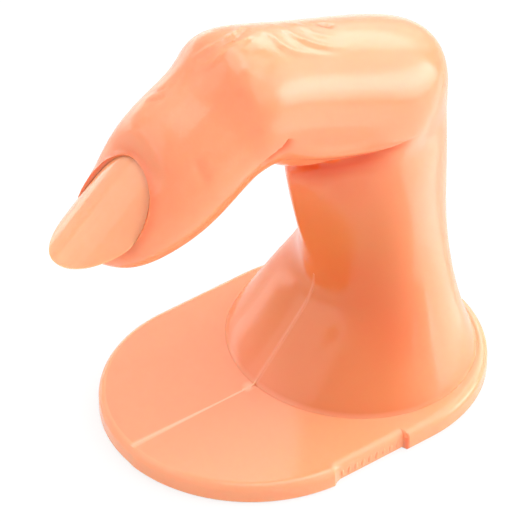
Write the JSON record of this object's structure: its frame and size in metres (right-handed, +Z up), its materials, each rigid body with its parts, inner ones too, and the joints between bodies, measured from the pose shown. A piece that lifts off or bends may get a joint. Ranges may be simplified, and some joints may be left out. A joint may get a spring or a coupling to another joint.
{
  "type": "nail practice finger",
  "caption": "Bent soft practice finger moulded with a flat base plate, with a false nail that slides out of its slot.",
  "frame": {"origin": "centre of the base plate's flat underside", "axes": "+Z up, the finger points towards -X, +Y to the side, and the part is the same on both sides of the plane y = 0 but for the gate mark"},
  "size_m": [0.0765, 0.0474, 0.071],
  "materials": {
    "vinyl": "soft PVC moulding, semi-matt, slightly translucent",
    "nail": "moulded ABS false nail, glossy"
  },
  "bodies": {
    "finger": {"finger_and_base": "vinyl"},
    "nail": {"nail_tip": "nail"}
  },
  "joints": [
    {"name": "nail_slide", "type": "slide", "parent": "finger", "child": "nail", "axis": [-0.7864, 0, -0.6177], "range_m": [0, 0.022]}
  ]
}
